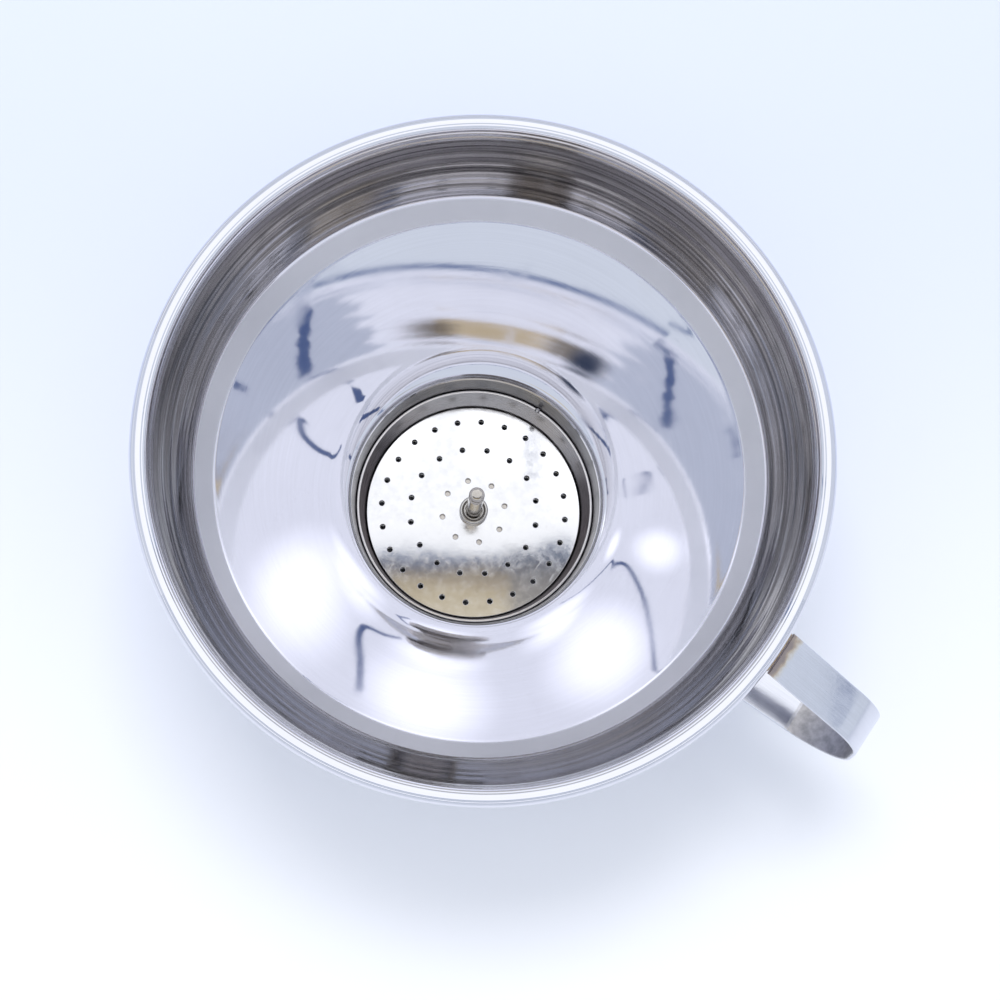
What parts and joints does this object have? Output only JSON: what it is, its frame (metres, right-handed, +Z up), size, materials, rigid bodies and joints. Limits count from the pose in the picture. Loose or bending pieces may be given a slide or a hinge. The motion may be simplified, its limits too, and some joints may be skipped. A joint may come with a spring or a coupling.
{
  "type": "canning funnel",
  "caption": "Wide stainless-steel canning funnel with a rolled rim, strap handle, short tapered neck and a drop-in perforated strainer on a grooved centre post.",
  "frame": {"origin": "middle of the whole object's footprint, handle included, on the plane of the neck's lower edge; the funnel's axis stands at X = -0.0206", "axes": "+X from the funnel's axis towards the handle, +Z up along the funnel's axis"},
  "size_m": [0.2401, 0.1998, 0.1094],
  "materials": {
    "polished_steel": "mirror-polished stainless steel with light spinning lines",
    "disc_steel": "bright rolled stainless sheet with fine scuffs",
    "satin_steel": "turned and satin stainless steel",
    "strap_steel": "bright strap with fine brushing and a golden heat tint at its welds",
    "weld": "rippled, heat-tinted weld bead"
  },
  "bodies": {
    "funnel": {"funnel_body": "polished_steel", "seat_ring": "satin_steel", "seat_ring_tack_weld": "weld", "handle_strap": "strap_steel", "handle_upper_weld": "weld", "handle_lower_weld": "weld"},
    "strainer_base": {"lower_strainer_disc": "disc_steel", "strainer_post": "satin_steel", "post_washer": "satin_steel"},
    "strainer_cover": {"upper_strainer_disc": "disc_steel", "post_ferrule": "satin_steel"}
  },
  "joints": [
    {"name": "strainer_lift", "type": "slide", "parent": "funnel", "child": "strainer_base", "axis": [0, 0, 1], "range_m": [0, 0.125]},
    {"name": "cover_lift", "type": "slide", "parent": "strainer_base", "child": "strainer_cover", "axis": [0, 0, 1], "range_m": [0, 0.035]}
  ]
}
